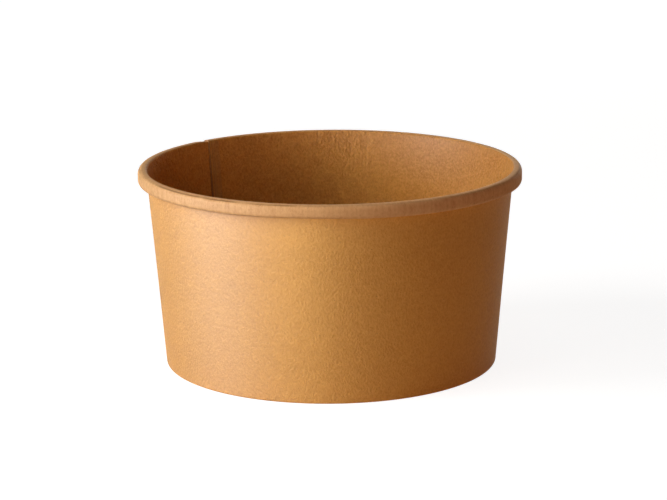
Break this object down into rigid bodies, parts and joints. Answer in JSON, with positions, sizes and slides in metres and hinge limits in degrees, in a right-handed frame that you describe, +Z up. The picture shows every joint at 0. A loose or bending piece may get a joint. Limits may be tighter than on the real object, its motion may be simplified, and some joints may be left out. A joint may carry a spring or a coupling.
{
  "type": "paper bowl",
  "caption": "Round kraft paper bowl with a rolled rim, a lapped side seam and a recessed, skirted base.",
  "frame": {"origin": "centre of the circle the bowl stands on, at table height", "axes": "+Z up along the bowl's axis; the side seam is at the back left, 134 degrees from +X"},
  "size_m": [0.15, 0.15, 0.0776],
  "materials": {
    "kraft_wall": "unbleached kraft board, uncoated and matt outside, thin clear coating inside",
    "kraft_base": "unbleached kraft board, thin clear coating on the food side"
  },
  "bodies": {
    "root": {"sidewall": "kraft_wall", "base_disc": "kraft_base"}
  },
  "joints": []
}
